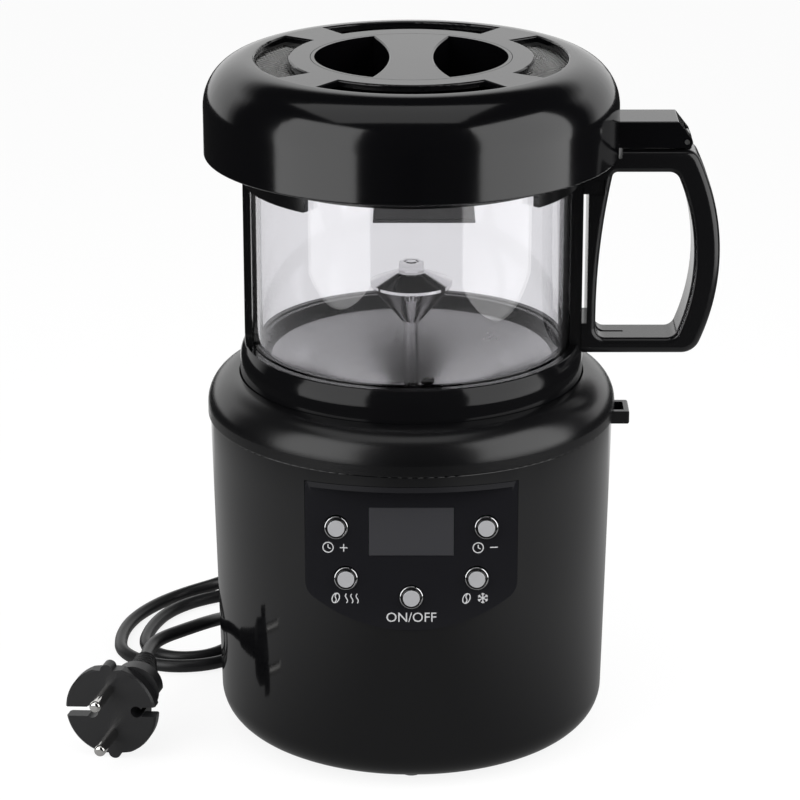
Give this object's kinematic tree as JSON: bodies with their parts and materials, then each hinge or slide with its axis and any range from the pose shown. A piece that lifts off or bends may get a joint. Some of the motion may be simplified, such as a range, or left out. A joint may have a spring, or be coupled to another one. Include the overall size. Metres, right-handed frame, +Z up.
{
  "type": "coffee bean roaster",
  "caption": "Countertop hot-air coffee bean roaster: round base with a keypad and cord, lift-off glass chamber with a D-handle, and a hinged round vented lid.",
  "frame": {"origin": "on the vertical axis of the round body, on the surface that its feet stand on", "axes": "+Z up, +X towards the handle, -Y towards whoever faces the control panel"},
  "size_m": [0.2631, 0.2359, 0.2804],
  "materials": {
    "gloss_black": "gloss",
    "matte_black": "fine satin",
    "panel_black": "satin",
    "rubber_black": "matte",
    "screw_steel": "plated",
    "plated_steel": "plated sheet",
    "grey_polymer": "moulded",
    "silicone_grey": "matte",
    "display_dark": "polished window",
    "display_green": "moulded",
    "board_green": "lacquer",
    "switch_black": "moulded",
    "mica": "flaky sheet",
    "nichrome": "drawn wire",
    "cord_black": "matte",
    "plug_black": "matte",
    "pin_chrome": "polished",
    "button_chrome": "polished",
    "clear_glass": "clear",
    "bowl_steel": "polished sheet",
    "flue_black": "satin",
    "mesh_steel": "woven"
  },
  "bodies": {
    "base": {"lower_casing": "gloss_black", "shoulder_cover": "matte_black", "bottom_plate": "matte_black", "rubber_feet": "rubber_black", "bottom_screws": "screw_steel", "deck_screws": "screw_steel", "seat_deck": "grey_polymer", "chamber_seal": "silicone_grey", "control_panel": "panel_black", "display_window": "display_dark", "display_module": "display_green", "control_board": "board_green", "button_switches": "switch_black", "fan_housing": "grey_polymer", "motor_bracket": "plated_steel", "motor": "plated_steel", "heater_tube": "plated_steel", "mica_sleeve": "mica", "mica_former": "mica", "heater_coil": "nichrome", "thermal_cutout": "switch_black", "power_board": "board_green", "board_parts": "switch_black", "interlock_switch": "switch_black", "cord_gland": "matte_black", "strain_relief": "cord_black", "power_cord": "cord_black", "plug_body": "plug_black", "plug_pins": "pin_chrome"},
    "fan": {"motor_shaft": "screw_steel", "fan_impeller": "grey_polymer"},
    "tab": {"release_tab": "matte_black"},
    "button_time_up": {"button_time_up": "button_chrome"},
    "button_time_down": {"button_time_down": "button_chrome"},
    "button_roast": {"button_roast": "button_chrome"},
    "button_cool": {"button_cool": "button_chrome"},
    "button_power": {"button_power": "button_chrome"},
    "chamber": {"chamber_ring": "gloss_black", "glass_cylinder": "clear_glass", "left_rail": "matte_black", "right_rail": "matte_black", "upper_ring": "matte_black", "roasting_bowl": "bowl_steel", "centre_rod": "bowl_steel", "deflector_cone": "bowl_steel", "rod_nut": "bowl_steel", "handle": "matte_black", "handle_screws": "screw_steel", "hinge_pin": "screw_steel"},
    "lid": {"lid_cover": "matte_black", "hinge_arm": "matte_black", "lid_spacers": "matte_black", "chaff_pan": "matte_black", "flue_box": "flue_black", "lid_seal": "silicone_grey", "mesh_screens": "mesh_steel", "lid_screws": "screw_steel"},
    "knob": {"grip_knob": "matte_black"}
  },
  "joints": [
    {"name": "chamber_lift", "type": "slide", "parent": "base", "child": "chamber", "axis": [0, 0, 1], "range_m": [0, 0.06]},
    {"name": "lid_hinge", "type": "hinge", "parent": "chamber", "child": "lid", "pos_m": [0.1085, 0, 0.2482], "axis": [0, 1, 0], "range_deg": [0, 95]},
    {"name": "knob_twist", "type": "hinge", "parent": "lid", "child": "knob", "pos_m": [0, 0, 0.27], "axis": [0, 0, 1], "range_deg": [0, 60]},
    {"name": "tab_pull", "type": "slide", "parent": "base", "child": "tab", "axis": [1, 0, 0], "range_m": [0, 0.003], "stiffness_N_per_m": 400, "springref_m": -0.002},
    {"name": "press_time_up", "type": "slide", "parent": "base", "child": "button_time_up", "axis": [0, 0.9936, -0.1132], "range_m": [0, 0.0008], "stiffness_N_per_m": 900, "springref_m": -0.0004},
    {"name": "press_time_down", "type": "slide", "parent": "base", "child": "button_time_down", "axis": [0, 0.9936, -0.1132], "range_m": [0, 0.0008], "stiffness_N_per_m": 900, "springref_m": -0.0004},
    {"name": "press_roast", "type": "slide", "parent": "base", "child": "button_roast", "axis": [0, 0.9936, -0.1132], "range_m": [0, 0.0008], "stiffness_N_per_m": 900, "springref_m": -0.0004},
    {"name": "press_cool", "type": "slide", "parent": "base", "child": "button_cool", "axis": [0, 0.9936, -0.1132], "range_m": [0, 0.0008], "stiffness_N_per_m": 900, "springref_m": -0.0004},
    {"name": "press_power", "type": "slide", "parent": "base", "child": "button_power", "axis": [0, 0.9936, -0.1132], "range_m": [0, 0.0008], "stiffness_N_per_m": 900, "springref_m": -0.0004},
    {"name": "fan_spin", "type": "hinge", "parent": "base", "child": "fan", "pos_m": [0, 0, 0.05], "axis": [0, 0, 1], "continuous": true}
  ]
}
